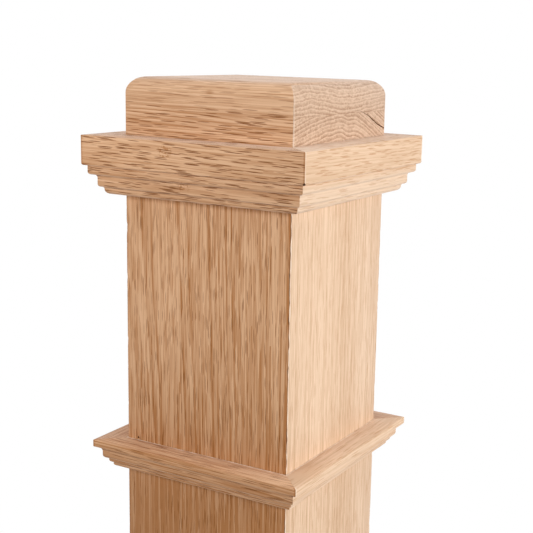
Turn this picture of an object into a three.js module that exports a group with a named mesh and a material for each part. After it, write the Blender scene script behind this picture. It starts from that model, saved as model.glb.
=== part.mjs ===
// Box newel post in oak: a hollow shaft of four mitred boards, a solid cap block,
// a cornice moulding under the cap and a neck moulding lower down the shaft.
// Millimetres, +Z up, origin on the floor at the post's axis.

import * as THREE from 'three';

// Whole post
const POST_HEIGHT = 1219;
const JOINT_GAP = 0.3;

// Shaft
const SHAFT_WIDTH = 158.75;
const BOARD_THICKNESS = 19.05;
const FACE_MARGIN = 2;

// Cap block
const CAP_HEIGHT = 66.7;
const CAP_REVEAL = 47.6;
const CAP_ROUND = 13.2;
const CAP_ARC_STEPS = 5;

// Clear shaft between the cornice and the neck moulding, where a rail lands
const RAIL_FACE = 212.4;

// Mouldings, as members from the top down. A member's face stands out from the shaft by its reach,
// runs down by its drop, ends in a rounded lower edge, and may tuck under the one above with a cove.
const CORNICE_MEMBERS = [
  { reach: 25.5, drop: 24.7, round: 1.6 },
  { reach: 22.0, drop: 7.7, round: 2.4 },
  { reach: 16.4, drop: 10.2, round: 2.2, cove: 2.5 },
  { reach: 12.5, drop: 6.1, round: 4.2, cove: 1.7 },
];
const NECK_MEMBERS = [
  { reach: 21.3, drop: 6.4, round: 0.8 },
  { reach: 15.7, drop: 11.1, round: 3.2, cove: 4.8 },
  { reach: 11.9, drop: 4.1, round: 2.4 },
  { reach: 9.2, drop: 3.5, round: 2.0 },
];
const ROUND_FULLNESS = 0.65;
const CURVE_STEPS = 5;

// Sizes that follow
const HALF_WIDTH = SHAFT_WIDTH / 2;
const MITRE_INSET = JOINT_GAP / Math.SQRT2;
const totalDrop = (members) => members.reduce((sum, member) => sum + member.drop, 0);
const CORNICE_TOP = POST_HEIGHT - CAP_REVEAL;
const CORNICE_BOTTOM = CORNICE_TOP - totalDrop(CORNICE_MEMBERS);
const NECK_TOP = CORNICE_BOTTOM - RAIL_FACE;
const NECK_BOTTOM = NECK_TOP - totalDrop(NECK_MEMBERS);
const CAP_BOTTOM = POST_HEIGHT - CAP_HEIGHT;

// A board's outside is divided just clear of the mouldings, so the rail face is a face of its own
const BOARD_LEVELS = [
  0,
  NECK_BOTTOM - FACE_MARGIN,
  NECK_TOP + FACE_MARGIN,
  CORNICE_BOTTOM - FACE_MARGIN,
  CAP_BOTTOM - JOINT_GAP,
];

const SIDES = ['front', 'right', 'back', 'left'];

const oak = (color) => new THREE.MeshStandardMaterial({ color, roughness: 0.72, metalness: 0 });
const BOARD_OAK = oak('#c6976c');
const CAP_OAK = oak('#cda67f');
const CORNICE_OAK = oak('#cd9f76');
const NECK_OAK = oak('#c4916a');

// One shaft board on the front side: a mitred section drawn in plan and carried up through its levels
function boardGeometry() {
  const outer = HALF_WIDTH - MITRE_INSET;
  const inner = outer - BOARD_THICKNESS;
  const section = new THREE.Shape([
    new THREE.Vector2(-outer, -HALF_WIDTH),
    new THREE.Vector2(outer, -HALF_WIDTH),
    new THREE.Vector2(inner, BOARD_THICKNESS - HALF_WIDTH),
    new THREE.Vector2(-inner, BOARD_THICKNESS - HALF_WIDTH),
  ]);
  const steps = BOARD_LEVELS.length - 1;
  const geometry = new THREE.ExtrudeGeometry(section, { depth: steps, steps, bevelEnabled: false });
  const position = geometry.attributes.position;
  for (let i = 0; i < position.count; i += 1) {
    position.setZ(i, BOARD_LEVELS[Math.round(position.getZ(i))]);
  }
  return geometry;
}

// A moulding's section: x is the reach from the shaft, y the height below the top edge
function mouldingSection(members) {
  const section = new THREE.Shape();
  section.moveTo(JOINT_GAP, 0);
  section.lineTo(members[0].reach, 0);
  let level = 0;
  for (const { reach, drop, round, cove = 0 } of members) {
    if (level < 0) section.lineTo(reach + cove, level);
    if (cove > 0) section.absarc(reach + cove, level - cove, cove, Math.PI / 2, Math.PI, false);
    level -= drop;
    section.lineTo(reach, level + round);
    const pull = (round / 2) * (1 - ROUND_FULLNESS);
    section.quadraticCurveTo(reach - pull, level + pull, reach - round, level);
  }
  section.lineTo(JOINT_GAP, level);
  section.closePath();
  return section;
}

// One length of moulding on the front side, its ends mitred: the further out, the longer it is
function mouldingGeometry(members) {
  const options = { depth: 1, steps: 1, curveSegments: CURVE_STEPS, bevelEnabled: false };
  const geometry = new THREE.ExtrudeGeometry(mouldingSection(members), options);
  const position = geometry.attributes.position;
  for (let i = 0; i < position.count; i += 1) {
    const reach = position.getX(i);
    const height = position.getY(i);
    const end = 1 - 2 * position.getZ(i);
    position.setXYZ(i, end * (HALF_WIDTH + reach - MITRE_INSET), -HALF_WIDTH - reach, height);
  }
  return geometry;
}

// The cap block is square in plan at every level, so its rounded edges meet in mitred corners
function capGeometry() {
  const outline = new THREE.Path();
  outline.moveTo(0, 0);
  outline.lineTo(HALF_WIDTH, 0);
  outline.lineTo(HALF_WIDTH, CAP_HEIGHT - CAP_ROUND);
  outline.absarc(HALF_WIDTH - CAP_ROUND, CAP_HEIGHT - CAP_ROUND, CAP_ROUND, 0, Math.PI / 2, false);
  outline.lineTo(0, CAP_HEIGHT);
  const corners = outline.getPoints(CAP_ARC_STEPS);
  corners.forEach((point) => point.setX(point.x * Math.SQRT2));
  return new THREE.LatheGeometry(corners, SIDES.length, Math.PI / 4).rotateX(Math.PI / 2);
}

// A named copy of a front-side piece on each of the four sides
function fourSides(name, geometry, material, level) {
  const ring = new THREE.Group();
  SIDES.forEach((side, turn) => {
    const piece = new THREE.Mesh(geometry, material);
    piece.name = `${name}_${side}`;
    piece.rotation.z = (turn * Math.PI) / 2;
    ring.add(piece);
  });
  ring.position.z = level;
  return ring;
}

const post = new THREE.Group();
post.name = 'newel_post';

post.add(fourSides('board', boardGeometry(), BOARD_OAK, 0));
post.add(fourSides('cornice', mouldingGeometry(CORNICE_MEMBERS), CORNICE_OAK, CORNICE_TOP));
post.add(fourSides('neck', mouldingGeometry(NECK_MEMBERS), NECK_OAK, NECK_TOP));

const cap = new THREE.Mesh(capGeometry(), CAP_OAK);
cap.name = 'cap_block';
cap.position.z = CAP_BOTTOM;
post.add(cap);

export default post;
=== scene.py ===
"""Oak box newel post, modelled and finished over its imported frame.

The frame gives each piece its place and size. One operator models each piece or group of like pieces, and the
last one sets the studio. Lengths are in metres, unless a comment, a docstring or a name says millimetres.
"""

import math
from typing import NamedTuple

import bmesh
import bpy
from bpy.props import FloatProperty, FloatVectorProperty, IntProperty, PointerProperty
from bpy.types import Operator, Panel, PropertyGroup
from mathutils import Matrix, Vector, noise


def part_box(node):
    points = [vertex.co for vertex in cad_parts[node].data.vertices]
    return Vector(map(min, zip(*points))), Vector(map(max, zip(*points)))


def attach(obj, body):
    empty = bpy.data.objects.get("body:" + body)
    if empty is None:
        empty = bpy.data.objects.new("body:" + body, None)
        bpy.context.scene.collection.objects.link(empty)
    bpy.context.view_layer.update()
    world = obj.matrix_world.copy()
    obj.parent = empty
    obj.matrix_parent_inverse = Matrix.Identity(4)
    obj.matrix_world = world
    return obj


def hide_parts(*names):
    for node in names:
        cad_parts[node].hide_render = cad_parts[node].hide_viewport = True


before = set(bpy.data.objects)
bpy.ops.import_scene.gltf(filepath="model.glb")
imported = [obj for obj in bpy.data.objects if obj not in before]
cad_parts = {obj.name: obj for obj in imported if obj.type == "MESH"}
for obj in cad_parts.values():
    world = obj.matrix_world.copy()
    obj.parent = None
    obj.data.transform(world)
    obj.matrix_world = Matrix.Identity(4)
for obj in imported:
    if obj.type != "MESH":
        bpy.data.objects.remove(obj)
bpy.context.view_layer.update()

bl_info = {
    "name": "Oak Box Newel Post",
    "version": (1, 0, 0),
    "blender": (4, 5, 0),
    "location": "View3D > Sidebar > Newel Post",
    "description": "Models an oak box newel post over its packed frame and sets a studio around it",
    "category": "Object",
}

MM = 0.001

# Sizes that the frame gives
BOARD_LOW, BOARD_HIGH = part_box("board_front")
CAP_LOW, CAP_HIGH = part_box("cap_block")
CORNICE_LOW, CORNICE_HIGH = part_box("cornice_front")
NECK_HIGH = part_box("neck_front")[1]
HALF_WIDTH = -BOARD_LOW.y
BOARD_THICKNESS = BOARD_HIGH.y - BOARD_LOW.y
LEDGE = CORNICE_HIGH.z

# The mouldings stand off the shaft by as much as the frame's boards stand back at their mitres
SHAFT_GAP = HALF_WIDTH - BOARD_HIGH.x

SIDES = ("front", "right", "back", "left")
QUARTER_TURN = math.pi / 2
SMOOTH_ANGLE = math.radians(32)
TINY = 0.01 * MM
WHITE = (1.0, 1.0, 1.0)

# The turn that lays a log level, in degrees
LEVEL = math.degrees(QUARTER_TURN)


class Member(NamedTuple):
    """One step of a moulding, in millimetres: how far it stands out, how far it runs down, its lower edge's
    round and the cove that it tucks under the step above with."""

    reach: float
    drop: float
    round: float
    cove: float = 0.0


CORNICE_MEMBERS = (
    Member(25.5, 24.7, 1.6),
    Member(22.0, 7.7, 2.4),
    Member(16.4, 10.2, 2.2, 2.5),
    Member(12.5, 6.1, 4.2, 1.7),
)
NECK_MEMBERS = (
    Member(21.3, 6.4, 0.8),
    Member(15.7, 11.1, 3.2, 4.8),
    Member(11.9, 4.1, 2.4),
    Member(9.2, 3.5, 2.0),
)


class Log(NamedTuple):
    """Where a piece was sawn from: the log's pith, in millimetres, its turn in degrees and its growth.

    The log's own Z runs along the grain. Ring, wander, bundle and the pores' width and length are in
    millimetres, and pore_reach is how far a pore fills its cell. Pale goes from the common wood, 0, to the
    palest, 1; on the right-hand pieces the pale colours are partly their own wood and partly painted light,
    the brighter and hazier look of the lit side. The shares say how strongly drift, rings, fibres and pores
    show, and tint darkens the whole piece."""

    pith: tuple
    turn: tuple
    pale: float = 0.0
    ring: float = 3.6
    wander: float = 4.0
    bundle: float = 64.0
    pore_width: float = 0.85
    pore_length: float = 22.0
    pore_reach: float = 0.31
    drift_share: float = 0.6
    ring_share: float = 0.35
    fibre_share: float = 1.0
    pore_share: float = 0.6
    tint: float = 0.45


# Settings


def length_setting(name, description, default):
    """A length that a user can change."""
    return FloatProperty(name=name, description=description, default=default, min=0.0, unit="LENGTH")


def share_setting(name, description, default):
    """A share from 0 to 1 that a user can change."""
    return FloatProperty(
        name=name, description=description, default=default, min=0.0, max=1.0, subtype="FACTOR"
    )


def color_setting(name, description, default):
    """A colour that a user can change."""
    return FloatVectorProperty(
        name=name, description=description, default=default, size=3, min=0.0, max=1.0, subtype="COLOR"
    )


def power_setting(name, description, default):
    """A light's power that a user can change."""
    return FloatProperty(name=name, description=description, default=default, min=0.0, unit="POWER")


class ShaftSettings(PropertyGroup):
    """The four mitred boards of the shaft."""

    edge_ease: length_setting("Edge Ease", "How far a board's sharp long edges are rubbed back", 0.5 * MM)
    raggedness: length_setting("Raggedness", "How far a board's long edges stray from straight", 2.4 * MM)
    edge_cuts: IntProperty(
        name="Edge Cuts",
        description="Number of cuts along a board that carry the stray of its edges",
        default=480,
        min=1,
    )


class CapSettings(PropertyGroup):
    """The solid block on top."""

    edge_round: length_setting("Edge Round", "Radius of the rounded top edges", 13.2 * MM)
    corner_ease: length_setting("Corner Ease", "How far the upright corners are rubbed back", 0.6 * MM)
    check_width: length_setting("Check Width", "Widest opening of the check in the end grain", 1.9 * MM)
    check_depth: length_setting("Check Depth", "How deep the drying check runs into the block", 9.0 * MM)


class MouldingSettings(PropertyGroup):
    """The cornice and the neck moulding."""

    edge_ease: length_setting("Edge Ease", "How far a moulding's sharp top edge is rubbed back", 0.5 * MM)
    waviness: length_setting("Waviness", "How far a sanded moulding strays from straight", 0.12 * MM)
    length_cuts: IntProperty(
        name="Length Cuts",
        description="Number of cuts along a moulding that carry its waviness",
        default=60,
        min=1,
    )


class OakSettings(PropertyGroup):
    """The bare oak."""

    light: color_setting("Latewood", "Colour of the dense wood", (0.68, 0.405, 0.228))
    dark: color_setting("Earlywood", "Colour of the open wood", (0.385, 0.155, 0.043))
    pore: color_setting("Pores", "Colour at the bottom of the pores", (0.15, 0.048, 0.011))
    # The pale colours go fully on the right-hand pieces, where they are partly their own paler wood and
    # partly painted light: the brighter, hazier look of the lit side
    pale_light: color_setting("Pale Latewood", "Colour of dense wood in pale boards", (0.75, 0.515, 0.345))
    pale_dark: color_setting("Pale Earlywood", "Colour of open wood in pale boards", (0.55, 0.330, 0.185))
    pale_pore: color_setting("Pale Pores", "Colour of the pores in pale boards", (0.41, 0.185, 0.080))
    end_light: color_setting("End Grain", "Colour of the end grain", (0.63, 0.425, 0.292))
    end_dark: color_setting("End Grain Rings", "Colour of the rings in the end grain", (0.32, 0.165, 0.085))
    # The pale mark colour is mostly painted light: highlights on near arrises and mitres, and a veil of
    # reflected light on the right cornice's lower steps. It also makes the pale band along the shaft on the
    # neck moulding.
    pale_mark: color_setting("Worn", "Colour of bruised arrises and of dried glue", (0.88, 0.74, 0.60))
    roughness: share_setting("Roughness", "Roughness of the sanded surface between the pores", 0.7)
    gloss: share_setting("Gloss", "Strength of the plain reflection", 0.3)
    dust: share_setting("Dust", "Strength of the pale veil of sanding dust and loose fibres", 0.22)
    dust_spread: share_setting("Dust Spread", "How widely the veil of dust scatters light", 0.5)


class StageSettings(PropertyGroup):
    """Floor, lights and surroundings."""

    floor_radius: length_setting("Floor Radius", "Radius of the round floor", 1.5)
    floor_color: color_setting("Floor", "Colour of the floor", (0.86, 0.86, 0.86))
    ambient: share_setting("Ambient", "Strength of the even light from all round", 0.26)
    backdrop: share_setting("Backdrop", "Strength of the light from the white backdrop", 1.0)
    key_color: color_setting("Key Color", "Colour of the soft light on the right", (0.90, 0.96, 1.0))
    key_power: power_setting("Key Power", "Power of the soft light on the right", 29.8)
    top_power: power_setting("Top Power", "Power of the wide soft light overhead", 7.6)
    fill_power: power_setting("Fill Power", "Power of the near soft light in front", 5.0)


class NewelPostSettings(PropertyGroup):
    """All settings of the post and its studio."""

    shaft: PointerProperty(type=ShaftSettings, name="Shaft")
    cap: PointerProperty(type=CapSettings, name="Cap")
    moulding: PointerProperty(type=MouldingSettings, name="Mouldings")
    oak: PointerProperty(type=OakSettings, name="Oak")
    stage: PointerProperty(type=StageSettings, name="Stage")


# Node helpers


class NodeBench:
    """Lays out nodes in a tree. Most calls add a node, feed its inputs and return the node or an output."""

    def __init__(self, tree):
        self.tree = tree

    def node(self, kind, inputs, **settings):
        made = self.tree.nodes.new(kind)
        for name, value in settings.items():
            setattr(made, name, value)
        for key, value in inputs.items():
            self.feed(made.inputs[key], value)
        return made

    def feed(self, socket, value):
        if isinstance(value, bpy.types.NodeSocket):
            self.tree.links.new(value, socket)
        else:
            socket.default_value = value

    def math(self, operation, first, second=0.0):
        return self.node("ShaderNodeMath", {0: first, 1: second}, operation=operation).outputs[0]

    def vector(self, operation, first, second):
        return self.node("ShaderNodeVectorMath", {0: first, 1: second}, operation=operation).outputs["Vector"]

    def scaled(self, vector, factor):
        made = self.node("ShaderNodeVectorMath", {0: vector, "Scale": factor}, operation="SCALE")
        return made.outputs["Vector"]

    def ramp(self, value, start, end, low=0.0, high=1.0):
        inputs = {"Value": value, "From Min": start, "From Max": end, "To Min": low, "To Max": high}
        made = self.node("ShaderNodeMapRange", inputs, interpolation_type="SMOOTHSTEP")
        return made.outputs["Result"]

    def combine(self, x, y, z):
        return self.node("ShaderNodeCombineXYZ", {0: x, 1: y, 2: z}).outputs[0]

    def separate(self, vector):
        return self.node("ShaderNodeSeparateXYZ", {0: vector}).outputs

    def noise(self, vector):
        inputs = {"Vector": vector, "Scale": 1.0, "Detail": 2.0, "Roughness": 0.5}
        return self.node("ShaderNodeTexNoise", inputs)

    def noise_along(self, value):
        inputs = {"W": value, "Scale": 1.0, "Detail": 1.0}
        return self.node("ShaderNodeTexNoise", inputs, noise_dimensions="1D").outputs["Fac"]

    def length(self, vector):
        return self.node("ShaderNodeVectorMath", {0: vector}, operation="LENGTH").outputs["Value"]

    def cell_tone(self, vector):
        return self.separate(self.cells(vector).outputs["Color"])[0]

    def cells(self, vector):
        return self.node("ShaderNodeTexVoronoi", {"Vector": vector, "Scale": 1.0})

    def clamped(self, value):
        return self.node("ShaderNodeClamp", {"Value": value}).outputs["Result"]

    def mix(self, factor, first, second):
        made = self.node("ShaderNodeMix", {0: factor, 6: first, 7: second}, data_type="RGBA")
        return made.outputs[2]


# Oak

FIGURE_NAME = "Oak figure"
FIGURE_INPUTS = ("Rise", "Ring Width", "Wander", "Bundle Length", "Pore Width", "Pore Length", "Pore Reach")
FIGURE_OUTPUTS = ("Drift", "Rings", "Lines", "Bundles", "Fibres", "Pores")

# How far apart a log's bends and its changes of ring width are, and how wide its fibres are, in millimetres
BEND_ACROSS = 60.0
BEND_ALONG = 320.0
RING_CHANGE = 11.0
BUNDLE_WIDTH = 2.2
FIBRE_WIDTH = 0.85

# How far rings shift, in years, a fibre's length, in bundles, and what rings add to a pore's reach, in cells
RING_SWING = 1.6
FIBRE_TO_BUNDLE = 0.9
PORE_CROWD = 0.04

# The parts of a year in which the earlywood and the line at its end come and go
EARLY_COMES = (0.0, 0.14)
EARLY_GOES = (0.70, 0.2)
LINE_COMES = (0.74, 0.88)
LINE_GOES = (1.0, 0.94)

# How fast the strength of rings changes, in a year, and the noise and strengths from weak to strong
VIGOUR_PACE = 0.45
VIGOUR_RANGE = (0.32, 0.68, 0.1, 1.0)

# The tones of cells from shut to open pores, and how softly a pore ends, in cells
PORE_OPENS = (0.25, 0.6)
PORE_SOFTNESS = 0.05

# The middle of a noise or a cell's tone, and of the rings
MIDDLE = 0.5
RING_MIDDLE = 0.25


def oak_figure():
    """The solid figure of oak in log space, in millimetres: rings round Z, fibres and pores along it."""
    if FIGURE_NAME in bpy.data.node_groups:
        return bpy.data.node_groups[FIGURE_NAME]
    tree = bpy.data.node_groups.new(FIGURE_NAME, "ShaderNodeTree")
    tree.interface.new_socket("Point", in_out="INPUT", socket_type="NodeSocketVector")
    for name in FIGURE_INPUTS:
        tree.interface.new_socket(name, in_out="INPUT", socket_type="NodeSocketFloat")
    for name in FIGURE_OUTPUTS:
        tree.interface.new_socket(name, in_out="OUTPUT", socket_type="NodeSocketFloat")
    bench = NodeBench(tree)
    given = bench.node("NodeGroupInput", {}).outputs

    # The log bends slowly along its length, by its wander to either side
    slow_point = bench.vector("DIVIDE", given["Point"], (BEND_ACROSS, BEND_ACROSS, BEND_ALONG))
    slow = bench.noise(slow_point)
    sway = bench.vector("SUBTRACT", slow.outputs["Color"], (MIDDLE, MIDDLE, MIDDLE))
    reach = bench.math("MULTIPLY", given["Wander"], 2.0)
    point = bench.vector("ADD", given["Point"], bench.scaled(sway, reach))

    # Growth rings of uneven width and strength
    x, y, _ = bench.separate(point)
    y = bench.math("SUBTRACT", y, given["Rise"])
    radius = bench.math("SQRT", bench.math("ADD", bench.math("MULTIPLY", x, x), bench.math("MULTIPLY", y, y)))
    swing = bench.noise_along(bench.math("DIVIDE", radius, RING_CHANGE))
    swing = bench.math("MULTIPLY", bench.math("SUBTRACT", swing, MIDDLE), RING_SWING)
    year = bench.math("ADD", bench.math("DIVIDE", radius, given["Ring Width"]), swing)
    season = bench.math("FRACT", year)
    early = bench.math("MULTIPLY", bench.ramp(season, *EARLY_COMES), bench.ramp(season, *EARLY_GOES))
    vigour = bench.ramp(bench.noise_along(bench.math("MULTIPLY", year, VIGOUR_PACE)), *VIGOUR_RANGE)
    rings = bench.math("MULTIPLY", early, vigour)
    lines = bench.math("MULTIPLY", bench.ramp(season, *LINE_COMES), bench.ramp(season, *LINE_GOES))

    # Bundles of fibres along the grain, each of its own tone, and finer fibres in them
    bundle_size = bench.combine(BUNDLE_WIDTH, BUNDLE_WIDTH, given["Bundle Length"])
    bundles = bench.cell_tone(bench.vector("DIVIDE", point, bundle_size))
    fibre_length = bench.math("MULTIPLY", given["Bundle Length"], FIBRE_TO_BUNDLE)
    fibre_size = bench.combine(FIBRE_WIDTH, FIBRE_WIDTH, fibre_length)
    fibres = bench.cell_tone(bench.vector("DIVIDE", point, fibre_size))

    # Open pores: a slit in each cell, of its own depth, and the widest in the earlywood
    pore_size = bench.combine(given["Pore Width"], given["Pore Width"], given["Pore Length"])
    slit = bench.cells(bench.vector("DIVIDE", point, pore_size)).outputs
    slit_reach = bench.math("ADD", given["Pore Reach"], bench.math("MULTIPLY", rings, PORE_CROWD))
    off_slit = bench.math("SUBTRACT", slit["Distance"], slit_reach)
    open_share = bench.ramp(bench.separate(slit["Color"])[1], *PORE_OPENS)
    pores = bench.math("MULTIPLY", bench.ramp(off_slit, PORE_SOFTNESS, -PORE_SOFTNESS), open_share)

    results = (slow.outputs["Fac"], rings, lines, bundles, fibres, pores)
    bench.node("NodeGroupOutput", dict(zip(FIGURE_OUTPUTS, results)))
    return tree


# How far each part of the figure takes the colour from latewood to earlywood, at a full share
DRIFT_SHADE = 0.9
RING_SHADE = 1.0
BUNDLE_SHADE = 0.12
FIBRE_SHADE = 0.75

# Patches of the pale mark in a metre, the noise from their edge to their middle, and how much of it shows
# between them
PALE_MARK_PATCHES = 130.0
PALE_MARK_EDGE = (0.35, 0.65)
PALE_MARK_LEAST = 0.25

# The finish: how far pores lose gloss and dust, how much rougher they are, and the relief of pores and fibres
PORE_DULLNESS = 0.85
PORE_ROUGHNESS = 0.2
FIBRE_RELIEF = 0.3
RELIEF_STRENGTH = 0.5
RELIEF_DEPTH = 0.08 * MM


class OakWork:
    """The nodes of one oak material: the log's figure on a piece, its shade and its finish."""

    def __init__(self, name, log, oak, ring_rise=None):
        self.material = bpy.data.materials.new(name)
        self.material.use_nodes = True
        self.material.node_tree.nodes.clear()
        self.bench = NodeBench(self.material.node_tree)
        self.log = log
        self.oak = oak
        self.place = self.bench.node("ShaderNodeTexCoord", {}).outputs["Object"]
        point = self.set_in(log.pith, log.turn, (1.0, 1.0, 1.0))
        rise = ring_rise(self.bench, point) if ring_rise else 0.0
        figure = self.bench.node("ShaderNodeGroup", {}, node_tree=oak_figure())
        growth = (rise, log.ring, log.wander, log.bundle, log.pore_width, log.pore_length, log.pore_reach)
        for key, value in zip(("Point", *FIGURE_INPUTS), (point, *growth)):
            self.bench.feed(figure.inputs[key], value)
        self.figure = figure.outputs
        self.shade = self.grain_shade()
        self.pores = self.figure["Pores"]
        self.pale_mark = 0.0

    def set_in(self, middle, turn, size):
        """The place on the piece from a middle, turned by degrees, in units of a size, in millimetres."""
        inputs = {
            "Vector": self.place,
            "Location": [length * MM for length in middle],
            "Rotation": [math.radians(angle) for angle in turn],
            "Scale": [length * MM for length in size],
        }
        return self.bench.node("ShaderNodeMapping", inputs, vector_type="TEXTURE").outputs["Vector"]

    def spot(self, middle, size):
        """A soft spot: 1 in its middle and 0 from its size outwards, in millimetres."""
        distance = self.bench.length(self.set_in(middle, (0.0, 0.0, 0.0), size))
        return self.bench.ramp(distance, 1.0, 0.0)

    def grain_shade(self):
        """How far the wood is from latewood, 0, to earlywood, 1."""
        bench, log = self.bench, self.log
        shade = log.tint
        for key, middle, weight in (
            ("Drift", MIDDLE, DRIFT_SHADE * log.drift_share),
            ("Rings", RING_MIDDLE, RING_SHADE * log.ring_share),
            ("Bundles", MIDDLE, BUNDLE_SHADE * log.fibre_share),
            ("Fibres", MIDDLE, FIBRE_SHADE * log.fibre_share),
        ):
            part = bench.math("MULTIPLY", bench.math("SUBTRACT", self.figure[key], middle), weight)
            shade = bench.math("ADD", shade, part)
        return shade

    def darken(self, mask, amount):
        """Adds shade under a mask."""
        self.shade = self.bench.math("ADD", self.shade, self.bench.math("MULTIPLY", mask, amount))

    def lay_pale_mark(self, mask):
        """Mixes the pale mark colour in evenly under a mask."""
        self.pale_mark = self.bench.math("MAXIMUM", self.pale_mark, mask)

    def wear(self, mask, amount):
        """Mixes the pale mark colour in under a mask, in patches: painted highlights on arrises and mitres,
        and the pale band along the shaft.
        """
        patches = self.bench.noise(self.bench.scaled(self.place, PALE_MARK_PATCHES)).outputs["Fac"]
        patches = self.bench.ramp(patches, *PALE_MARK_EDGE, PALE_MARK_LEAST * amount, amount)
        self.lay_pale_mark(self.bench.math("MULTIPLY", mask, patches))

    def long_color(self):
        """The colour of wood cut along the grain."""
        bench, oak, pale = self.bench, self.oak, self.log.pale
        light = (*Vector(oak.light).lerp(Vector(oak.pale_light), pale), 1.0)
        dark = (*Vector(oak.dark).lerp(Vector(oak.pale_dark), pale), 1.0)
        pore = (*Vector(oak.pore).lerp(Vector(oak.pale_pore), pale), 1.0)
        color = bench.mix(bench.clamped(self.shade), light, dark)
        return bench.mix(bench.math("MULTIPLY", self.pores, self.log.pore_share), color, pore)

    def finish(self, color):
        """Gives the colour the sanded finish: open pores, dull gloss and a pale veil of dust."""
        bench, oak = self.bench, self.oak
        # The pale mark: painted highlights and painted reflected light, and the pale band along the shaft
        color = bench.mix(self.pale_mark, color, (*oak.pale_mark, 1.0))
        smooth = bench.math("SUBTRACT", 1.0, bench.math("MULTIPLY", self.pores, PORE_DULLNESS))
        depth = bench.math("ADD", self.pores, bench.math("MULTIPLY", self.figure["Fibres"], FIBRE_RELIEF))
        height = bench.math("MULTIPLY", depth, -1.0)
        relief = {"Height": height, "Strength": RELIEF_STRENGTH, "Distance": RELIEF_DEPTH}
        bump = bench.node("ShaderNodeBump", relief)
        roughness = bench.math("ADD", bench.math("MULTIPLY", self.pores, PORE_ROUGHNESS), oak.roughness)
        shader = bench.node(
            "ShaderNodeBsdfPrincipled",
            {
                "Base Color": color,
                "Roughness": roughness,
                "Normal": bump.outputs["Normal"],
                "Specular IOR Level": bench.math("MULTIPLY", smooth, oak.gloss),
                "Sheen Weight": bench.math("MULTIPLY", smooth, oak.dust),
                "Sheen Roughness": oak.dust_spread,
            },
        )
        bench.node("ShaderNodeOutputMaterial", {"Surface": shader.outputs["BSDF"]})
        return self.material


# Modelling helpers

EASE_SEGMENTS = 2
HOLE_SEGMENTS = 12

# All mitres are tighter than the gap that the CAD leaves
TIGHT_INSET = 0.04 * MM

# The waves of a straying edge: their length, a number that sets them apart, and their weight
STRAY_WAVES = ((40.0 * MM, 0.0, 0.45), (11.0 * MM, 7.0, 0.55), (3.5 * MM, 13.0, 0.35))

# What sets the waves of pieces apart, and those at different levels of a moulding
BOARD_SEED = 0.0
CORNICE_SEED = 100.0
NECK_SEED = 200.0
SEED_STEP = 10.0
SEED_PER_METRE = 40.0


def finished_piece(name, mesh_builder, material):
    """Makes an object of a bmesh, with smooth rounds and crisp arrises, in place of its CAD node."""
    mesh = bpy.data.meshes.new(name)
    bmesh.ops.recalc_face_normals(mesh_builder, faces=mesh_builder.faces)
    mesh_builder.to_mesh(mesh)
    mesh_builder.free()
    mesh.shade_smooth()
    mesh.set_sharp_from_angle(angle=SMOOTH_ANGLE)
    mesh.materials.append(material)
    piece = bpy.data.objects.new(f"{name}_oak", mesh)
    bpy.context.scene.collection.objects.link(piece)
    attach(piece, "root")
    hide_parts(name)
    return piece


def cut_away(piece, cutter_builder):
    """Cuts a bmesh out of a piece and applies the cut."""
    mesh = bpy.data.meshes.new("cutter")
    bmesh.ops.recalc_face_normals(cutter_builder, faces=cutter_builder.faces)
    cutter_builder.to_mesh(mesh)
    cutter_builder.free()
    cutter = bpy.data.objects.new("cutter", mesh)
    bpy.context.scene.collection.objects.link(cutter)
    cut = piece.modifiers.new("Cut", "BOOLEAN")
    cut.operation = "DIFFERENCE"
    cut.solver = "EXACT"
    cut.object = cutter
    with bpy.context.temp_override(object=piece, active_object=piece):
        bpy.ops.object.modifier_apply(modifier=cut.name)
    bpy.data.objects.remove(cutter)
    bpy.data.meshes.remove(mesh)


def hole_builder(place, turn, radius, depth):
    """The cutter for a round hole that enters at a place, from the front or turned about the post's axis."""
    builder = bmesh.new()
    bmesh.ops.create_cone(
        builder, cap_ends=True, segments=HOLE_SEGMENTS, radius1=radius, radius2=radius, depth=2.0 * depth
    )
    level = Matrix.Rotation(turn, 3, "Z") @ Matrix.Rotation(QUARTER_TURN, 3, "X")
    bmesh.ops.rotate(builder, cent=(0.0, 0.0, 0.0), matrix=level, verts=builder.verts)
    bmesh.ops.translate(builder, vec=place, verts=builder.verts)
    return builder


def ease_edges(builder, edges, amount, segments):
    """Rounds edges off by an amount."""
    bmesh.ops.bevel(
        builder,
        geom=edges,
        offset=amount,
        offset_type="OFFSET",
        segments=segments,
        profile=0.5,
        affect="EDGES",
        material=-1,
    )


def turn_to_side(builder, side):
    """Turns a front piece round the post to another side."""
    turn = Matrix.Rotation(QUARTER_TURN * SIDES.index(side), 3, "Z")
    bmesh.ops.rotate(builder, cent=(0.0, 0.0, 0.0), matrix=turn, verts=builder.verts)


def stray(position, seed):
    """A smooth random value about 0 for a place along an edge, in coarse and fine waves."""
    return sum(
        weight * noise.noise(Vector((position / length, seed, apart)))
        for length, apart, weight in STRAY_WAVES
    )


# Shaft

# The boards' arrises are ragged within a few times their ease, down to a small depth
ARRIS_REACH = 2.5
ARRIS_DEPTH = 1.6 * MM

# The nail hole in the front board, just above the neck moulding
NAIL_RADIUS = 0.95 * MM
NAIL_DEPTH = 5.0 * MM
NAIL_PLACE = Vector((-68.4 * MM, -HALF_WIDTH, NECK_HIGH.z + 1.9 * MM))


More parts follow.
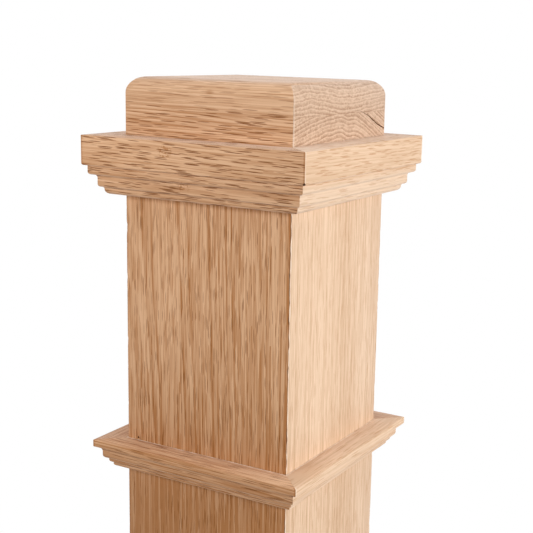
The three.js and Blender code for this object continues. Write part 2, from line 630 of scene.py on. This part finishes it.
def board_builder(settings, seed):
    """A board on the front side: mitred long edges, eased outside and a little ragged."""
    builder = bmesh.new()
    outer = HALF_WIDTH - TIGHT_INSET
    inner = outer - BOARD_THICKNESS
    height = BOARD_HIGH.z - BOARD_LOW.z
    middle = (BOARD_LOW + BOARD_HIGH) / 2
    bmesh.ops.create_cube(builder, size=1.0)
    bmesh.ops.scale(builder, vec=(2 * outer, BOARD_THICKNESS, height), verts=builder.verts)
    bmesh.ops.translate(builder, vec=middle, verts=builder.verts)
    inside = [vert for vert in builder.verts if vert.co.y > middle.y]
    bmesh.ops.scale(builder, vec=(inner / outer, 1.0, 1.0), verts=inside)

    def long_edges():
        return [edge for edge in builder.edges if abs(edge.verts[0].co.z - edge.verts[1].co.z) > height / 2]

    outside = [edge for edge in long_edges() if edge.verts[0].co.y < middle.y]
    ease_edges(builder, outside, settings.edge_ease, EASE_SEGMENTS)
    bmesh.ops.bisect_plane(
        builder,
        geom=[*builder.verts, *builder.edges, *builder.faces],
        plane_co=(0.0, ARRIS_DEPTH - HALF_WIDTH, 0.0),
        plane_no=(0.0, 1.0, 0.0),
    )
    bmesh.ops.subdivide_edges(builder, edges=long_edges(), cuts=settings.edge_cuts, use_grid_fill=True)

    arris_reach = ARRIS_REACH * settings.edge_ease
    for vert in builder.verts:
        if outer - abs(vert.co.x) < arris_reach and vert.co.y < arris_reach - HALF_WIDTH:
            end = math.copysign(1.0, vert.co.x)
            wear = max(0.0, stray(vert.co.z, seed + end)) * settings.raggedness
            vert.co.x -= end * wear
    return builder


BOARD_LOGS = {
    "front": Log((-92.0, 20.0, 0.0), (-1.0, -0.4, 0.0), ring_share=0.5, tint=0.46),
    # The right board takes the pale colours and a weaker figure: partly its own wood, partly painted light
    # for the brighter, hazier lit side
    "right": Log(
        (10.0, -230.0, 0.0),
        (0.5, 0.2, 0.0),
        pale=1.0,
        ring=6.0,
        drift_share=1.0,
        ring_share=0.4,
        pore_share=0.5,
    ),
    "back": Log((210.0, -30.0, 0.0), (0.3, 0.4, 0.0), ring=3.9),
    "left": Log((30.0, 240.0, 0.0), (-0.4, 0.3, 0.0), ring=4.2),
}

# Painted shade: the levels over which a board darkens down its length, where the light falls off and the neck
# moulding shades it, and fades again to its foot, and by how much
FRONT_SHADE_LEVELS = (1.04, 0.80)
FRONT_PAINTED_SHADE = 0.62
RIGHT_SHADE_LEVELS = (0.98, 0.86)
RIGHT_PAINTED_SHADE = 0.2
SHADE_FOOT_FADES = (-0.20, 0.75)

# Shade on the front board: a painted shadow below the cornice, and darker wood along its near edge and along
# its far edge
UNDER_CORNICE_BAND = (CORNICE_LOW.z - 7.0 * MM, CORNICE_LOW.z)
UNDER_CORNICE_SHADOW = 0.3
NEAR_EDGE = (HALF_WIDTH - 4.5 * MM, HALF_WIDTH - 1.5 * MM)
NEAR_EDGE_SHADE = 0.6
FAR_EDGE = (1.2 * MM - HALF_WIDTH, 0.4 * MM - HALF_WIDTH)
FAR_EDGE_SHADE = 0.4

# The right board has painted light in its near half, a painted highlight along its near arris, and is dark
# behind its outside
NEAR_HALF = (0.0, -HALF_WIDTH)
NEAR_HALF_PAINTED_LIGHT = -0.2
NEAR_ARRIS = (2.2 * MM - HALF_WIDTH, 1.2 * MM - HALF_WIDTH)
NEAR_ARRIS_HIGHLIGHT = 0.6
OUTSIDE = (HALF_WIDTH - 0.5 * MM, HALF_WIDTH - 0.15 * MM)
BEHIND_SHADE = 0.8


def board_material(side, oak):
    """A board's oak. The front and right boards have painted shade down their length. The front also has a
    painted shadow under the cornice and darker edges; the right has painted light in its near half, a painted
    highlight on its near arris and a dark face behind its outside.
    """
    work = OakWork(f"shaft oak {side}", BOARD_LOGS[side], oak)
    bench = work.bench
    x, y, height = bench.separate(work.place)

    # Painted shade, darker down a board's length and fading towards its foot
    def paint_shade_down_length(levels, amount):
        lower = bench.ramp(height, *levels)
        work.darken(bench.math("MULTIPLY", lower, bench.ramp(height, *SHADE_FOOT_FADES)), amount)

    if side == "front":
        # Painted shadow on the top of the front board, just below the cornice
        work.darken(bench.ramp(height, *UNDER_CORNICE_BAND), UNDER_CORNICE_SHADOW)
        paint_shade_down_length(FRONT_SHADE_LEVELS, FRONT_PAINTED_SHADE)
        work.darken(bench.ramp(x, *NEAR_EDGE), NEAR_EDGE_SHADE)
        work.darken(bench.ramp(x, *FAR_EDGE), FAR_EDGE_SHADE)
    if side == "right":
        # Painted light on the near half of the right board
        work.darken(bench.ramp(y, *NEAR_HALF), NEAR_HALF_PAINTED_LIGHT)
        paint_shade_down_length(RIGHT_SHADE_LEVELS, RIGHT_PAINTED_SHADE)
        outside = bench.ramp(x, *OUTSIDE)
        # Painted highlight along the right board's near arris, in the pale mark colour
        work.wear(bench.math("MULTIPLY", bench.ramp(y, *NEAR_ARRIS), outside), NEAR_ARRIS_HIGHLIGHT)
        work.darken(bench.math("SUBTRACT", 1.0, outside), BEHIND_SHADE)
    return work.finish(work.long_color())


class NEWEL_OT_shaft(Operator):
    """Models the four mitred boards of the hollow shaft"""

    bl_idname = "newel.shaft"
    bl_label = "Shaft Boards"

    def execute(self, context):
        settings = context.scene.newel_post
        for number, side in enumerate(SIDES):
            builder = board_builder(settings.shaft, BOARD_SEED + SEED_STEP * number)
            turn_to_side(builder, side)
            board = finished_piece(f"board_{side}", builder, board_material(side, settings.oak))
            if side == "front":
                cut_away(board, hole_builder(NAIL_PLACE, 0.0, NAIL_RADIUS, NAIL_DEPTH))
        return {"FINISHED"}


# Cap

CAP_ROUND_SEGMENTS = 10

# The ease of the upright corners ends this share of the edges' round below the top
CORNER_EASE_END = 0.25

# The pith is set so far below the ledge, in millimetres, that the rings are flat apart from their rise
CAP_PITH_DEPTH = 2000.0
CAP_LOG = Log(
    (0.0, 10.0, LEDGE / MM - CAP_PITH_DEPTH),
    (LEVEL + 0.5, 0.0, LEVEL),
    ring=3.0,
    wander=3.0,
    bundle=70.0,
    pale=0.3,
    pore_width=0.95,
    pore_length=21.0,
    pore_reach=0.36,
    drift_share=0.3,
    ring_share=0.75,
    pore_share=1.0,
    tint=0.61,
)

# A small knot in the front of the cap, as a middle and a size in millimetres
CAP_KNOT = (3.0, -HALF_WIDTH / MM, LEDGE / MM + 38.1)
CAP_KNOT_SIZE = (5.5, 5.0, 3.0)
CAP_KNOT_SHADE = 0.5

# The cap is glued up of two layers. In the lower one the rings arch over the pith, with a dip in the crown,
# and fall along the block. In the upper one they sag to a shallow bowl. Lengths are in millimetres.
ARCH_STEEPNESS = 0.30
ARCH_TILT = 0.135
ARCH_CROWN = 20.0
DIP_DEPTH = 3.2
DIP_WIDTH = 9.0
BOWL_DEPTH = 7.0
BOWL_WIDTH = 42.0
GLUE_LEVEL = 22.0
GLUE_WIDTH = 0.5
LENGTHWISE_FALL = 0.045
WOBBLE = 1.6
WOBBLE_ACROSS = 13.0
WOBBLE_ALONG = 90.0

# Long grain: the glue line's core, as a share of its width, and its shade, the level at which the upper layer
# is at its full, in levels of the glue line, and how the pores, the shade and the rings change in that layer
GLUE_CORE = 0.3
GLUE_SHADE = 0.5
UPPER_FULL = 1.4
UPPER_PORES = 0.45
UPPER_SHADE = -0.08
UPPER_RING_SHADE = -0.45

# End grain: how far a face looks along the grain, the shade at first and what each part of the figure adds,
# the rings in the lower and the upper layer, and the dark edge and the painted highlight on the arris at the
# near corner
END_FACES = (0.25, 0.6)
END_SHADE = -0.12
END_RING_SHADES = (0.6, 0.35)
END_LINE_SHADE = -0.4
END_BUNDLE_SHADE = 0.35
END_FIBRE_SHADE = 0.5
END_GLUE_SHADE = 0.3
END_EDGE = (1.4 * MM - HALF_WIDTH, 0.7 * MM - HALF_WIDTH)
END_EDGE_SHADE = 0.6
END_ARRIS = (2.6 * MM - HALF_WIDTH, 1.4 * MM - HALF_WIDTH)
END_ARRIS_HIGHLIGHT = 0.4

# The drying check in the right end, from its fine start to the back corner, as the points that draw a curve,
# each across the end and above the ledge
CHECK_PATH = (
    Vector((20.0 * MM, 24.0 * MM)),
    Vector((50.0 * MM, 22.0 * MM)),
    Vector((56.0 * MM, 11.0 * MM)),
    Vector((78.4 * MM, 6.8 * MM)),
)

# The check's opening at its start and at its bottom, as shares of the widest, the share of its length in
# which it widens, its cuts and its waves
CHECK_START = 0.1
CHECK_BOTTOM = 0.2
CHECK_WIDENS = 0.5
CHECK_CUTS = 32
CHECK_WAVE = 0.8 * MM
CHECK_WAVES = 20.0
CHECK_SEED = 3.0

# Painted shade inside the check, as a middle and a size in millimetres, and where its spot is full
CHECK_SHADE_MIDDLE = (71.0, 50.0, LEDGE / MM + 14.0)
CHECK_SHADE_SIZE = (8.2, 36.0, 14.0)
CHECK_SHADE_FULL = 0.2


def cap_ring_rise(bench, point):
    """How far the cap's rings are lifted, so that they arch and dip in one layer and sag in the other."""
    x, y, z = bench.separate(point)

    def bell(width):
        share = bench.math("DIVIDE", x, width)
        return bench.math("EXPONENT", bench.math("MULTIPLY", bench.math("MULTIPLY", share, share), -1.0))

    crown = bench.math("SQRT", bench.math("ADD", bench.math("MULTIPLY", x, x), ARCH_CROWN**2))
    arch = bench.math("MULTIPLY", bench.math("SUBTRACT", crown, ARCH_CROWN), -ARCH_STEEPNESS)
    arch = bench.math("SUBTRACT", arch, bench.math("MULTIPLY", x, ARCH_TILT))
    arch = bench.math("SUBTRACT", arch, bench.math("MULTIPLY", bell(DIP_WIDTH), DIP_DEPTH))
    bowl = bench.math("MULTIPLY", bench.math("SUBTRACT", 1.0, bell(BOWL_WIDTH)), BOWL_DEPTH)
    arch = bench.math("SUBTRACT", arch, bench.math("MULTIPLY", z, LENGTHWISE_FALL))
    upper = bench.math("GREATER_THAN", y, CAP_PITH_DEPTH + GLUE_LEVEL)
    rise = bench.math("MULTIPLY", bench.math("SUBTRACT", bowl, arch), upper)
    wobble = bench.noise(bench.vector("DIVIDE", point, (WOBBLE_ACROSS, WOBBLE_ACROSS, WOBBLE_ALONG)))
    wobble = bench.math("MULTIPLY", bench.math("SUBTRACT", wobble.outputs["Fac"], MIDDLE), 2.0 * WOBBLE)
    return bench.math("ADD", bench.math("ADD", arch, rise), wobble)


def cap_material(oak):
    """The cap's oak: long grain on four faces and paler end grain on the two ends, with a painted highlight
    on the near end arris and painted shade inside the drying check.
    """
    work = OakWork("cap oak", CAP_LOG, oak, cap_ring_rise)
    bench = work.bench
    _, across, level = bench.separate(work.place)
    work.darken(work.spot(CAP_KNOT, CAP_KNOT_SIZE), CAP_KNOT_SHADE)
    off_glue = bench.math("ABSOLUTE", bench.math("SUBTRACT", level, LEDGE + GLUE_LEVEL * MM))
    glue = bench.ramp(off_glue, GLUE_WIDTH * MM, GLUE_CORE * GLUE_WIDTH * MM)
    work.darken(glue, GLUE_SHADE)
    upper = bench.ramp(level, LEDGE + GLUE_LEVEL * MM, LEDGE + UPPER_FULL * GLUE_LEVEL * MM)
    work.pores = bench.math("MULTIPLY", work.pores, bench.ramp(upper, 0.0, 1.0, 1.0, UPPER_PORES))
    work.darken(upper, UPPER_SHADE)
    work.darken(bench.math("MULTIPLY", upper, work.figure["Rings"]), UPPER_RING_SHADE)

    facing = bench.separate(bench.node("ShaderNodeNewGeometry", {}).outputs["Normal"])[0]
    end = bench.ramp(bench.math("ABSOLUTE", facing), *END_FACES)
    end_shade = END_SHADE
    for mask, amount in (
        (work.figure["Rings"], bench.ramp(upper, 0.0, 1.0, *END_RING_SHADES)),
        (work.figure["Lines"], END_LINE_SHADE),
        (work.figure["Bundles"], END_BUNDLE_SHADE),
        (work.figure["Fibres"], END_FIBRE_SHADE),
        (glue, END_GLUE_SHADE),
        (bench.ramp(across, *END_EDGE), END_EDGE_SHADE),
    ):
        end_shade = bench.math("ADD", end_shade, bench.math("MULTIPLY", mask, amount))
    end_color = bench.mix(bench.clamped(end_shade), (*oak.end_light, 1.0), (*oak.end_dark, 1.0))
    color = bench.mix(end, work.long_color(), end_color)
    # Painted highlight on the near arris of the end grain
    work.wear(bench.math("MULTIPLY", bench.ramp(across, *END_ARRIS), end), END_ARRIS_HIGHLIGHT)
    # Painted shade inside the drying check, in the pores' colour
    inside = bench.ramp(work.spot(CHECK_SHADE_MIDDLE, CHECK_SHADE_SIZE), 0.0, CHECK_SHADE_FULL)
    return work.finish(bench.mix(inside, color, (*oak.pore, 1.0)))


def cap_builder(settings):
    """The block: rounded top edges that meet in mitred creases, and eased upright corners."""
    builder = bmesh.new()
    bmesh.ops.create_cube(builder, size=1.0)
    bmesh.ops.scale(builder, vec=CAP_HIGH - CAP_LOW, verts=builder.verts)
    bmesh.ops.translate(builder, vec=(CAP_LOW + CAP_HIGH) / 2, verts=builder.verts)
    top_edges = [edge for edge in builder.edges if all(vert.co.z > LEDGE for vert in edge.verts)]
    ease_edges(builder, top_edges, settings.edge_round, CAP_ROUND_SEGMENTS)
    ease_end = CAP_HIGH.z - CORNER_EASE_END * settings.edge_round
    corners = []
    for edge in builder.edges:
        first, second = edge.verts
        rises = abs(first.co.z - second.co.z) > TINY
        on_diagonal = all(abs(abs(vert.co.x) - abs(vert.co.y)) < TINY for vert in edge.verts)
        if rises and on_diagonal and min(first.co.z, second.co.z) < ease_end:
            corners.append(edge)
    ease_edges(builder, corners, settings.corner_ease, EASE_SEGMENTS)
    return builder


def check_builder(settings):
    """The cutter for the drying check: a thin wedge that follows a ring and widens to the corner."""
    builder = bmesh.new()
    length = CHECK_PATH[-1].x - CHECK_PATH[0].x
    bmesh.ops.create_cube(builder, size=1.0)
    bmesh.ops.scale(builder, vec=(2 * settings.check_depth, length, 1.0), verts=builder.verts)
    along = [edge for edge in builder.edges if abs(edge.verts[0].co.y - edge.verts[1].co.y) > length / 2]
    bmesh.ops.subdivide_edges(builder, edges=along, cuts=CHECK_CUTS, use_grid_fill=True)
    for vert in builder.verts:
        share = vert.co.y / length + 0.5
        path = list(CHECK_PATH)
        while len(path) > 1:
            path = [start.lerp(end, share) for start, end in zip(path, path[1:])]
        widened = min(1.0, share / CHECK_WIDENS) ** 2
        opening = settings.check_width * (CHECK_START + (1.0 - CHECK_START) * widened)
        if vert.co.x < 0.0:
            opening *= CHECK_BOTTOM
        wave = noise.noise(Vector((CHECK_WAVES * share, CHECK_SEED, 0.0))) * CHECK_WAVE
        height = LEDGE + path[0].y + wave + math.copysign(opening / 2, vert.co.z)
        vert.co = Vector((CAP_HIGH.x + vert.co.x, path[0].x, height))
    return builder


class NEWEL_OT_cap(Operator):
    """Models the solid cap block, with its rounded top and the drying check in its end grain"""

    bl_idname = "newel.cap"
    bl_label = "Cap Block"

    def execute(self, context):
        settings = context.scene.newel_post
        material = cap_material(settings.oak)
        cap = finished_piece("cap_block", cap_builder(settings.cap), material)
        cut_away(cap, check_builder(settings.cap))
        return {"FINISHED"}


# Mouldings

ROUND_SEGMENTS = 5

# Clusters of pin knots in the front cornice, as a middle and a size in millimetres
CORNICE_KNOTS = (
    ((-21.0, -105.0, LEDGE / MM - 8.0), (9.0, 6.0, 8.0)),
    ((-9.0, -97.0, LEDGE / MM - 34.0), (8.0, 9.0, 7.0)),
)

# A cluster's specks in a metre, the noise from their edge to their middle, and their shade
KNOT_SPECKS = 520.0
SPECK_EDGE = (0.5, 0.6)
KNOT_SHADE = 1.2

# Painted light and shade on the neck moulding's ledge at the near corner: a middle, a size in millimetres,
# and the shade that each adds. The front's, a negative one, is painted light on the ledge's top, partly dust;
# the right's is painted shade on its top.
NECK_LEDGE_LIGHT_AND_SHADE = {
    "front": (((76.0, -92.0, NECK_HIGH.z / MM), (60.0, 14.0, 3.0), -0.45),),
    "right": (((88.0, -76.0, NECK_HIGH.z / MM), (18.0, 60.0, 4.5), 0.9),),
}

# The open spot in the cornice's near mitre, at the lower end of the top step's arris
VOID_RADIUS = 0.98 * MM
VOID_DEPTH = 7.0 * MM
VOID_TURN = QUARTER_TURN / 2
VOID_OUT = HALF_WIDTH + CORNICE_MEMBERS[0].reach * MM
VOID_PLACE = Vector((VOID_OUT, -VOID_OUT, LEDGE - 23.6 * MM))

# Near a mitre, the top step's face has a line: how far in from the face it shows, how far from the mitre it
# goes, the strength of its painted highlight on the right side, and how dark it is on the other sides
MITRE_FACE = (3.0 * MM, 1.5 * MM)
MITRE_LINE = (2.0 * MM, 0.8 * MM)
MITRE_HIGHLIGHT = 0.6
MITRE_SHADE = 0.5

# A pale band along the shaft shows on the neck moulding
SHAFT_BAND = (1.8 * MM, 0.8 * MM)
NECK_SHAFT_BAND = 0.7

# Painted reflected light: the right cornice gets a pale veil from the first of these levels down to the
# second
STEP_VEIL_LEVELS = (LEDGE - 23.0 * MM, LEDGE - 33.0 * MM)
CORNICE_STEP_VEIL = 0.2


def moulding_corners(members):
    """A moulding's section, as corners of reach, height below the top, and the round or cove at each."""
    corners = [(SHAFT_GAP, 0.0, 0.0), (members[0].reach * MM, 0.0, 0.0)]
    level = 0.0
    for member in members:
        if level < 0.0:
            corners.append((member.reach * MM, level, member.cove * MM))
        level -= member.drop * MM
        corners.append((member.reach * MM, level, member.round * MM))
    corners.append((SHAFT_GAP, level, 0.0))
    return corners


def moulding_builder(members, top, settings, seed):
    """A length of moulding on the front side, mitred at both ends."""
    builder = bmesh.new()
    corners = moulding_corners(members)
    end_verts = []
    for reach, height, _ in corners:
        half_length = HALF_WIDTH + reach - TIGHT_INSET
        end_verts.append(builder.verts.new((-half_length, -HALF_WIDTH - reach, top + height)))
    end = builder.faces.new(end_verts)
    drawn = bmesh.ops.extrude_face_region(builder, geom=[end], use_keep_orig=True)["geom"]
    for vert in drawn:
        if isinstance(vert, bmesh.types.BMVert):
            vert.co.x = -vert.co.x
    bmesh.ops.recalc_face_normals(builder, faces=builder.faces)

    def long_edges():
        return [edge for edge in builder.edges if edge.verts[0].co.x * edge.verts[1].co.x < 0.0]

    def edges_at(reach, height):
        place = Vector((-HALF_WIDTH - reach, top + height))
        return [edge for edge in long_edges() if (edge.verts[0].co.yz - place).length < TINY]

    ease_edges(builder, edges_at(members[0].reach * MM, 0.0), settings.edge_ease, EASE_SEGMENTS)
    for reach, height, size in corners:
        if size > 0.0:
            ease_edges(builder, edges_at(reach, height), size, ROUND_SEGMENTS)
    bmesh.ops.remove_doubles(builder, verts=builder.verts, dist=TINY)
    bmesh.ops.subdivide_edges(builder, edges=long_edges(), cuts=settings.length_cuts, use_grid_fill=True)
    for vert in builder.verts:
        vert.co.z += stray(vert.co.x, seed + SEED_PER_METRE * vert.co.z) * settings.waviness
    return builder


class MouldingTimber(NamedTuple):
    """What four lengths of moulding are sawn from.

    Their piths lie out from the post's middle and up from the floor, each next side's a step higher, in
    millimetres. They lean by degrees. The right side takes the pale colours, with a tint of its own; they are
    partly its own paler wood and partly painted light for the brighter lit side."""

    pith_out: float
    pith_up: float
    pith_step: float
    lean: float
    right_tint: float
    growth: dict


CORNICE_TIMBER = MouldingTimber(
    pith_out=70.0,
    pith_up=1090.0,
    pith_step=7.0,
    lean=1.2,
    right_tint=0.62,
    growth={
        "ring": 2.7,
        "pale": 0.15,
        "bundle": 44.0,
        "pore_width": 0.92,
        "pore_length": 20.0,
        "pore_reach": 0.36,
        "drift_share": 0.1,
        "ring_share": 0.3,
        "fibre_share": 0.9,
        "pore_share": 1.0,
        "tint": 0.45,
    },
)
NECK_TIMBER = MouldingTimber(
    pith_out=60.0,
    pith_up=840.0,
    pith_step=9.0,
    lean=0.5,
    right_tint=0.45,
    growth={"ring": 3.0, "bundle": 50.0, "pore_length": 26.0, "pore_share": 0.8, "tint": 0.62},
)
# The right side's pale colours and weaker figure: partly its own wood, partly painted light for the brighter,
# hazier lit side
RIGHT_LIT_SIDE_GROWTH = {"pale": 1.0, "fibre_share": 0.7, "pore_share": 0.55}


def moulding_log(side, timber):
    """The log that lies along a moulding on one side."""
    number = SIDES.index(side)
    turn = QUARTER_TURN * number
    pith_up = timber.pith_up + timber.pith_step * number
    pith = Matrix.Rotation(turn, 3, "Z") @ Vector((0.0, -timber.pith_out, pith_up))
    growth = dict(timber.growth)
    if side == "right":
        growth.update(RIGHT_LIT_SIDE_GROWTH, tint=timber.right_tint)
    return Log(tuple(pith), (LEVEL + timber.lean, 0.0, LEVEL + math.degrees(turn)), **growth)


def moulding_material(name, side, timber, oak, members, glue=0.0, step_veil=0.0, knots=(), ledge_light_and_shade=()):
    """A moulding's oak, with a line at the mitres that is a painted highlight on the right side, painted
    reflected light on the right steps, a pale band along the shaft, knots, and painted light and shade on the
    ledge.
    """
    work = OakWork(f"{name} oak {side}", moulding_log(side, timber), oak)
    bench = work.bench
    x, y, height = bench.separate(work.place)
    x = bench.math("ABSOLUTE", x)
    y = bench.math("ABSOLUTE", y)
    off_mitre = bench.math("ABSOLUTE", bench.math("SUBTRACT", x, y))
    off_shaft = bench.math("SUBTRACT", bench.math("MAXIMUM", x, y), HALF_WIDTH)
    off_face = bench.math("SUBTRACT", members[0].reach * MM, off_shaft)
    mitre = bench.math("MULTIPLY", bench.ramp(off_mitre, *MITRE_LINE), bench.ramp(off_face, *MITRE_FACE))
    if side == "right":
        # Painted highlight along the right side's mitre line
        work.wear(mitre, MITRE_HIGHLIGHT)
        # Painted reflected light: a pale veil on the right cornice's lower steps
        work.lay_pale_mark(bench.ramp(height, *STEP_VEIL_LEVELS, 0.0, step_veil))
    else:
        work.darken(mitre, MITRE_SHADE)
    # A pale band in the pale mark colour where the moulding meets the shaft
    work.wear(bench.ramp(off_shaft, *SHAFT_BAND), glue)
    specks = bench.ramp(bench.noise(bench.scaled(work.place, KNOT_SPECKS)).outputs["Fac"], *SPECK_EDGE)
    for middle, size in knots:
        work.darken(bench.math("MULTIPLY", work.spot(middle, size), specks), KNOT_SHADE)
    # Painted light and shade on the ledge's top near the corner
    for middle, size, amount in ledge_light_and_shade:
        work.darken(work.spot(middle, size), amount)
    return work.finish(work.long_color())


class NEWEL_OT_cornice(Operator):
    """Models the four mitred lengths of cornice moulding under the cap"""

    bl_idname = "newel.cornice"
    bl_label = "Cornice"

    def execute(self, context):
        settings = context.scene.newel_post
        for number, side in enumerate(SIDES):
            seed = CORNICE_SEED + SEED_STEP * number
            builder = moulding_builder(CORNICE_MEMBERS, LEDGE, settings.moulding, seed)
            turn_to_side(builder, side)
            # Triangles keep the wavy faces flat where the open spot crosses them
            bmesh.ops.triangulate(builder, faces=builder.faces)
            material = moulding_material(
                "cornice",
                side,
                CORNICE_TIMBER,
                settings.oak,
                CORNICE_MEMBERS,
                step_veil=CORNICE_STEP_VEIL,
                knots=CORNICE_KNOTS if side == "front" else (),
            )
            moulding = finished_piece(f"cornice_{side}", builder, material)
            if side in ("front", "right"):
                cut_away(moulding, hole_builder(VOID_PLACE, VOID_TURN, VOID_RADIUS, VOID_DEPTH))
        return {"FINISHED"}


class NEWEL_OT_neck(Operator):
    """Models the four mitred lengths of neck moulding below the rail face"""

    bl_idname = "newel.neck"
    bl_label = "Neck Moulding"

    def execute(self, context):
        settings = context.scene.newel_post
        for number, side in enumerate(SIDES):
            seed = NECK_SEED + SEED_STEP * number
            builder = moulding_builder(NECK_MEMBERS, NECK_HIGH.z, settings.moulding, seed)
            turn_to_side(builder, side)
            material = moulding_material(
                "neck",
                side,
                NECK_TIMBER,
                settings.oak,
                NECK_MEMBERS,
                glue=NECK_SHAFT_BAND,
                ledge_light_and_shade=NECK_LEDGE_LIGHT_AND_SHADE.get(side, ()),
            )
            finished_piece(f"neck_{side}", builder, material)
        return {"FINISHED"}


# Stage

# The camera stands where the photograph was taken from. Its frame is square.
FRAME_PIXELS = 533.0
FOCAL_PIXELS = 1085.26
AXIS_PIXEL = (317.0, 265.5)
SENSOR_WIDTH_MM = 36.0
CAMERA_PLACE = Vector((0.49016, -0.78497, LEDGE + 0.07451))
CAMERA_YAW = math.radians(28.771)
CAMERA_PITCH = math.radians(11.386)
CAMERA_ROLL = math.radians(1.46)
CLIP_START = 0.05
CLIP_END = 50.0

# The backdrop lies behind the post, as the camera sees it, and its edge is soft
BACKDROP_WAY = Vector((-0.5, 0.86, 0.1)).normalized()
BACKDROP_EDGE = (0.1, 0.7)

FLOOR_THICKNESS = 0.02
FLOOR_GAP = 0.2 * MM
FLOOR_SEGMENTS = 128
FLOOR_ROUGHNESS = 0.9

# The soft lights all point at one place on the post
AIM = Vector((0.0, 0.0, 1.05))
KEY_PLACE = Vector((1.7, 0.0, 1.40))
KEY_SIZE = 0.8
TOP_PLACE = Vector((0.2, -0.2, 2.60))
TOP_SIZE = 1.4
FILL_PLACE = Vector((-0.25, -0.85, 1.30))
FILL_SIZE = 0.45


def add_camera():
    """The camera, at the photograph's angle, with the shift that its framing needs."""
    data = bpy.data.cameras.new("camera")
    data.sensor_width = SENSOR_WIDTH_MM
    data.lens = FOCAL_PIXELS * SENSOR_WIDTH_MM / FRAME_PIXELS
    data.shift_x = (FRAME_PIXELS / 2 - AXIS_PIXEL[0]) / FRAME_PIXELS
    data.shift_y = (AXIS_PIXEL[1] - FRAME_PIXELS / 2) / FRAME_PIXELS
    data.clip_start = CLIP_START
    data.clip_end = CLIP_END
    camera = bpy.data.objects.new("camera", data)
    yaw = Matrix.Rotation(CAMERA_YAW, 4, "Z")
    pitch = Matrix.Rotation(QUARTER_TURN - CAMERA_PITCH, 4, "X")
    roll = Matrix.Rotation(CAMERA_ROLL, 4, "Z")
    camera.matrix_world = Matrix.Translation(CAMERA_PLACE) @ yaw @ pitch @ roll
    bpy.context.scene.collection.objects.link(camera)
    bpy.context.scene.camera = camera


def add_soft_light(name, place, size, power, color):
    """A square soft light that points at the post and that the camera doesn't see."""
    data = bpy.data.lights.new(name, "AREA")
    data.shape = "SQUARE"
    data.size = size
    data.energy = power
    data.color = color
    light = bpy.data.objects.new(name, data)
    light.location = place
    light.rotation_euler = (AIM - place).to_track_quat("-Z", "Y").to_euler()
    light.visible_camera = False
    bpy.context.scene.collection.objects.link(light)


def add_floor(settings):
    """A plain pale round floor just under the boards."""
    builder = bmesh.new()
    bmesh.ops.create_cone(
        builder,
        cap_ends=True,
        segments=FLOOR_SEGMENTS,
        radius1=settings.floor_radius,
        radius2=settings.floor_radius,
        depth=FLOOR_THICKNESS,
    )
    bmesh.ops.translate(builder, vec=(0.0, 0.0, -FLOOR_THICKNESS / 2 - FLOOR_GAP), verts=builder.verts)
    mesh = bpy.data.meshes.new("floor")
    builder.to_mesh(mesh)
    builder.free()
    material = bpy.data.materials.new("pale floor")
    material.use_nodes = True
    shader = material.node_tree.nodes["Principled BSDF"]
    shader.inputs["Base Color"].default_value = (*settings.floor_color, 1.0)
    shader.inputs["Roughness"].default_value = FLOOR_ROUGHNESS
    mesh.materials.append(material)
    floor = bpy.data.objects.new("floor", mesh)
    bpy.context.scene.collection.objects.link(floor)


def set_surroundings(settings):
    """An even glow all round, stronger from the backdrop, that shows as plain white behind the post."""
    world = bpy.data.worlds.new("studio")
    bpy.context.scene.world = world
    world.use_nodes = True
    world.node_tree.nodes.clear()
    bench = NodeBench(world.node_tree)
    seen = bench.node("ShaderNodeLightPath", {}).outputs["Is Camera Ray"]
    way = bench.node("ShaderNodeTexCoord", {}).outputs["Generated"]
    behind = bench.node("ShaderNodeVectorMath", {0: way, 1: BACKDROP_WAY}, operation="DOT_PRODUCT")
    strength = bench.ramp(behind.outputs["Value"], *BACKDROP_EDGE, settings.ambient, settings.backdrop)
    strength = bench.math("MAXIMUM", strength, seen)
    glow = bench.node("ShaderNodeBackground", {"Color": (*WHITE, 1.0), "Strength": strength})
    bench.node("ShaderNodeOutputWorld", {"Surface": glow.outputs["Background"]})


class NEWEL_OT_stage(Operator):
    """Sets the floor, the soft lights, the surroundings and the camera"""

    bl_idname = "newel.stage"
    bl_label = "Stage"

    def execute(self, context):
        settings = context.scene.newel_post.stage
        context.scene.view_settings.view_transform = "Standard"
        add_camera()
        add_floor(settings)
        set_surroundings(settings)
        add_soft_light("key", KEY_PLACE, KEY_SIZE, settings.key_power, settings.key_color)
        add_soft_light("top", TOP_PLACE, TOP_SIZE, settings.top_power, WHITE)
        add_soft_light("fill", FILL_PLACE, FILL_SIZE, settings.fill_power, WHITE)
        return {"FINISHED"}


# Add-on


class NEWEL_PT_sidebar(Panel):
    """Lists the operators that build the post, with its settings"""

    bl_label = "Newel Post"
    bl_idname = "NEWEL_PT_sidebar"
    bl_space_type = "VIEW_3D"
    bl_region_type = "UI"
    bl_category = "Newel Post"

    def draw(self, context):
        settings = context.scene.newel_post
        for operator in OPERATORS:
            self.layout.operator(operator.bl_idname)
        for group in (settings.shaft, settings.cap, settings.moulding, settings.oak, settings.stage):
            column = self.layout.column()
            for name in group.__annotations__:
                column.prop(group, name)


OPERATORS = (NEWEL_OT_shaft, NEWEL_OT_cap, NEWEL_OT_cornice, NEWEL_OT_neck, NEWEL_OT_stage)
GROUPS = (ShaftSettings, CapSettings, MouldingSettings, OakSettings, StageSettings, NewelPostSettings)
CLASSES = (*GROUPS, *OPERATORS, NEWEL_PT_sidebar)


def register():
    for cls in CLASSES:
        bpy.utils.register_class(cls)
    bpy.types.Scene.newel_post = PointerProperty(type=NewelPostSettings)


def unregister():
    del bpy.types.Scene.newel_post
    for cls in reversed(CLASSES):
        bpy.utils.unregister_class(cls)


def main():
    register()
    bpy.ops.newel.shaft()
    bpy.ops.newel.cap()
    bpy.ops.newel.cornice()
    bpy.ops.newel.neck()
    bpy.ops.newel.stage()


if __name__ == "__main__":
    main()
